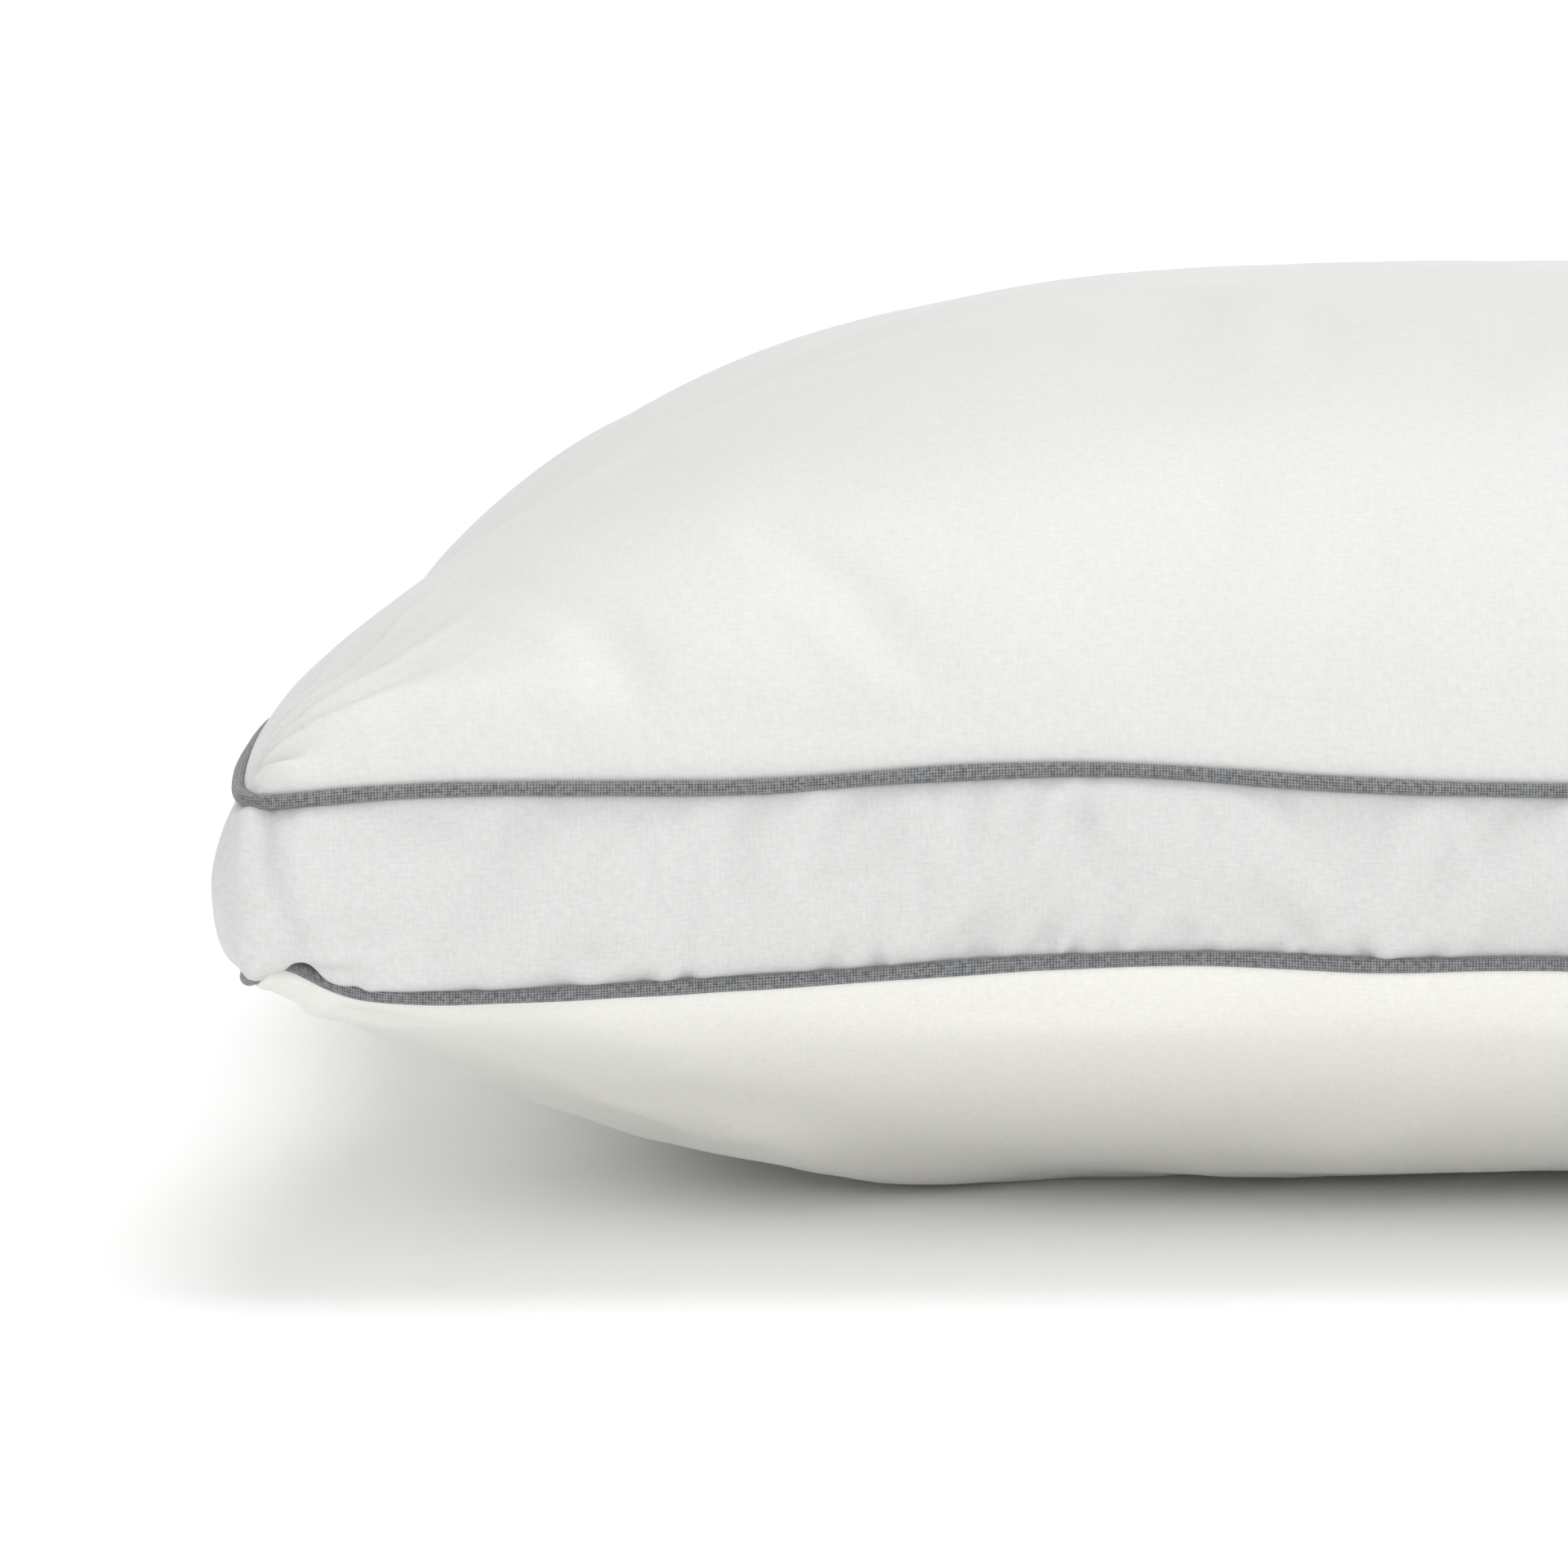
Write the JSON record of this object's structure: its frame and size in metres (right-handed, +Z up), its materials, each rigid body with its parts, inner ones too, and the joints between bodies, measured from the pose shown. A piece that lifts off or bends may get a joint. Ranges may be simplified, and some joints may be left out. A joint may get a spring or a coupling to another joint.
{
  "type": "bed pillow",
  "caption": "Rectangular gusseted bed pillow: domed panels and a side strip, with corded piping along both seams.",
  "frame": {"origin": "middle of the flat that the pillow rests on, at the bottom centre of the bounding box", "axes": "+X along the pillow's length, +Y across it towards the side with the label and the closing stitches, +Z up, away from the surface it lies on"},
  "size_m": [0.6478, 0.4542, 0.1889],
  "materials": {
    "top_panel": "satin weave, bright white",
    "bottom_panel": "satin weave, warm white",
    "gusset_strip": "satin weave, bright white",
    "upper_piping_tape": "plain weave, mid grey",
    "upper_piping_cord": "twisted cotton, undyed",
    "lower_piping_tape": "plain weave, mid grey",
    "lower_piping_cord": "twisted cotton, undyed",
    "upper_seam_needle_thread": "spun polyester, white",
    "upper_seam_bobbin_thread": "spun polyester, white",
    "lower_seam_needle_thread": "spun polyester, white",
    "lower_seam_bobbin_thread": "spun polyester, white",
    "gusset_join_thread": "spun polyester, white",
    "closing_stitches": "spun polyester, white",
    "care_label": "smooth tape, white, blank",
    "fibre_fill": "loose fibre, white"
  },
  "bodies": {
    "root": {"top_panel": "top_panel", "bottom_panel": "bottom_panel", "gusset_strip": "gusset_strip", "upper_piping_tape": "upper_piping_tape", "upper_piping_cord": "upper_piping_cord", "lower_piping_tape": "lower_piping_tape", "lower_piping_cord": "lower_piping_cord", "upper_seam_needle_thread": "upper_seam_needle_thread", "upper_seam_bobbin_thread": "upper_seam_bobbin_thread", "lower_seam_needle_thread": "lower_seam_needle_thread", "lower_seam_bobbin_thread": "lower_seam_bobbin_thread", "gusset_join_thread": "gusset_join_thread", "closing_stitches": "closing_stitches", "care_label": "care_label", "fibre_fill": "fibre_fill"}
  },
  "joints": []
}
